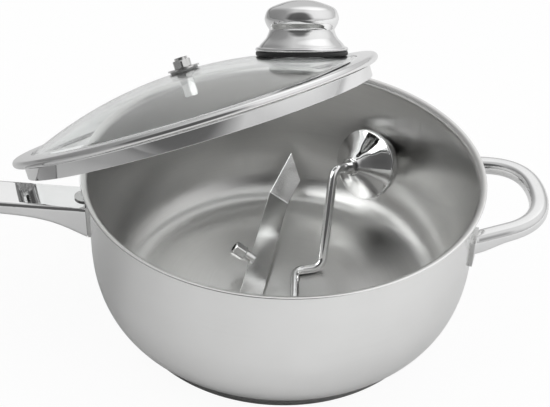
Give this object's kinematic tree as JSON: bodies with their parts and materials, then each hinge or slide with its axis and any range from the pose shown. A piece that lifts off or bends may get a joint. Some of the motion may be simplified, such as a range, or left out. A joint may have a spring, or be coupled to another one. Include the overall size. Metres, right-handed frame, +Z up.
{
  "type": "stovetop popcorn popper",
  "caption": "Hand cranked stovetop popcorn popper: stainless pot with long and loop handles, loose glass lid with knob, crank with turning grip and stirrer blade.",
  "frame": {"origin": "centre of the face the pot stands on", "axes": "+Z up along the pot's axis, +X to the right of the pictured view towards the loop handle (which is turned 4.7 degrees from it), +Y away from the viewer"},
  "size_m": [0.4585, 0.2918, 0.1699],
  "materials": {
    "pot_steel": "satin outside, fine circular brushing inside",
    "core_aluminium": "plain disc sealed in the base",
    "base_steel": "satin",
    "handle_steel": "polished stainless steel",
    "bracket_steel": "plain welded sheet",
    "lid_glass": "clear tempered glass",
    "band_steel": "polished stainless steel",
    "fitting_steel": "machined",
    "seal_rubber": "matt black silicone",
    "knob_steel": "mirror polished",
    "rod_steel": "bright drawn rod",
    "grip_steel": "mirror polished, spun",
    "sleeve_plastic": "plain bearing sleeve",
    "strip_steel": "rolled strip"
  },
  "bodies": {
    "pot": {"pot_body": "pot_steel", "base_core": "core_aluminium", "base_cap": "base_steel", "long_handle": "handle_steel", "long_handle_bracket": "bracket_steel", "loop_handle": "handle_steel", "loop_bracket_back": "bracket_steel", "loop_bracket_front": "bracket_steel"},
    "lid": {"lid_glass": "lid_glass", "lid_rim_band": "band_steel", "lid_bushing": "fitting_steel", "lid_lower_gasket": "seal_rubber", "lid_upper_gasket": "seal_rubber", "lid_washer": "fitting_steel", "lid_nut": "fitting_steel"},
    "lid_knob": {"knob_crown": "knob_steel", "knob_skirt": "knob_steel", "knob_seal": "seal_rubber", "knob_boss": "fitting_steel"},
    "crank": {"crank_rod": "rod_steel", "grip_nut": "fitting_steel"},
    "grip": {"grip_cone": "grip_steel", "grip_crown": "grip_steel", "grip_sleeve": "sleeve_plastic"},
    "stirrer": {"stirrer_blade": "strip_steel", "stirrer_neck": "fitting_steel", "stirrer_hub_nut": "fitting_steel"}
  },
  "joints": [
    {"name": "lid_lift", "type": "slide", "parent": "pot", "child": "lid", "axis": [0, 0, 1], "range_m": [0, 0.15]},
    {"name": "knob_lift", "type": "slide", "parent": "lid", "child": "lid_knob", "axis": [-0.0395, 0.448, 0.8931], "range_m": [0, 0.03]},
    {"name": "crank_lift", "type": "slide", "parent": "pot", "child": "crank", "axis": [0, 0, 1], "range_m": [0, 0.028]},
    {"name": "grip_spin", "type": "hinge", "parent": "crank", "child": "grip", "pos_m": [0.0546, 0.0775, 0.0528], "axis": [0.6599, 0.6799, -0.3199], "continuous": true},
    {"name": "stirrer_lift", "type": "slide", "parent": "pot", "child": "stirrer", "axis": [0, 0, 1], "range_m": [0, 0.04]}
  ]
}
